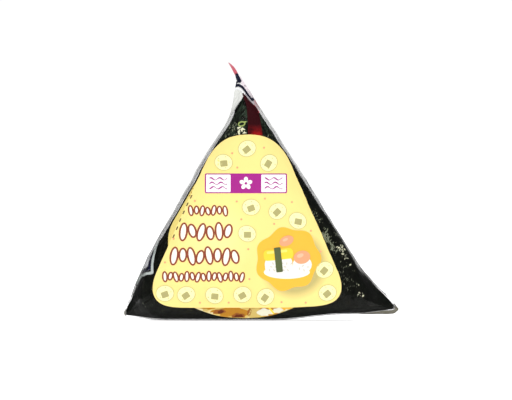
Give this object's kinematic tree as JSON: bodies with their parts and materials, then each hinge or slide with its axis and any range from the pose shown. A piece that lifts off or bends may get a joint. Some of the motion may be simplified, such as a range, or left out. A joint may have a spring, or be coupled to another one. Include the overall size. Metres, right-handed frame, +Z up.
{
  "type": "film-wrapped triangular rice ball with labels",
  "caption": "Triangular rice ball wrapped in seaweed and clear film, with a folded film tip, a red tear strip and paper labels, standing on its base.",
  "frame": {"origin": "middle of the bounding box on the surface that the pack stands on", "axes": "+X along the base to the right of the shown face, +Y from the shown face to the back, +Z up to the folded tip"},
  "size_m": [0.0964, 0.0342, 0.0901],
  "materials": {
    "seaweed_under_film": "crisp dried seaweed seen through tight clear film",
    "tear_film": "translucent red film tape",
    "label_paper": "coated pale yellow paper with a satin print",
    "round_paper": "coated paper printed in yellow, amber and brown fields"
  },
  "bodies": {
    "root": {"film_pack": "seaweed_under_film", "tear_strip_front": "tear_film", "tear_strip_back": "tear_film", "tear_strip_end": "tear_film", "round_label": "round_paper", "front_label": "label_paper"}
  },
  "joints": []
}
